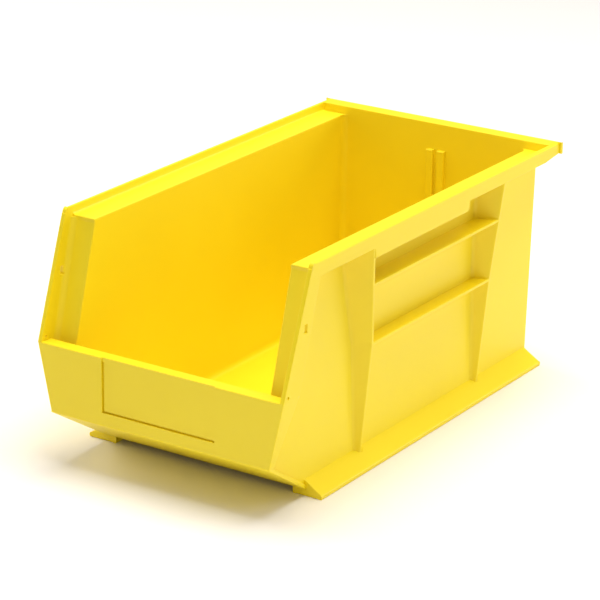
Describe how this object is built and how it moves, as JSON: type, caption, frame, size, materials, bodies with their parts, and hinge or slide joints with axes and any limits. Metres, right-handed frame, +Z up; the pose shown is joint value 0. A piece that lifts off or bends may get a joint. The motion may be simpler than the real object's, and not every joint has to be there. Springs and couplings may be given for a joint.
{
  "type": "stackable storage bin",
  "caption": "Open-fronted moulded plastic bin that stacks on its rim ledges, hangs by a rear rail on a louvred panel, and lifts by side finger grips.",
  "frame": {"origin": "middle of the underside of the bin's outer box, on the surface it stands on", "axes": "+X to the bin's right, +Y to its back, +Z up; the open hopper front faces -Y"},
  "size_m": [0.2096, 0.3746, 0.1778],
  "materials": {
    "yellow_plastic": "satin, finely grained moulding in bright yellow polypropylene, a little translucent"
  },
  "bodies": {
    "root": {"floor_pan": "yellow_plastic", "hopper_ramp": "yellow_plastic", "front_panel": "yellow_plastic", "hopper_lip": "yellow_plastic", "back_wall": "yellow_plastic", "hanging_rail": "yellow_plastic", "left_side_wall": "yellow_plastic", "right_side_wall": "yellow_plastic", "left_rim": "yellow_plastic", "right_rim": "yellow_plastic", "left_stacking_ledge": "yellow_plastic", "right_stacking_ledge": "yellow_plastic", "left_front_return": "yellow_plastic", "right_front_return": "yellow_plastic", "left_front_web": "yellow_plastic", "right_front_web": "yellow_plastic", "left_front_rib": "yellow_plastic", "right_front_rib": "yellow_plastic", "left_rear_rib": "yellow_plastic", "right_rear_rib": "yellow_plastic", "left_upper_shelf": "yellow_plastic", "right_upper_shelf": "yellow_plastic", "left_lower_shelf": "yellow_plastic", "right_lower_shelf": "yellow_plastic", "left_finger_grip": "yellow_plastic", "right_finger_grip": "yellow_plastic", "left_base_skirt": "yellow_plastic", "right_base_skirt": "yellow_plastic", "left_runner": "yellow_plastic", "right_runner": "yellow_plastic", "left_rear_gusset": "yellow_plastic", "right_rear_gusset": "yellow_plastic", "left_divider_guide": "yellow_plastic", "right_divider_guide": "yellow_plastic"}
  },
  "joints": []
}
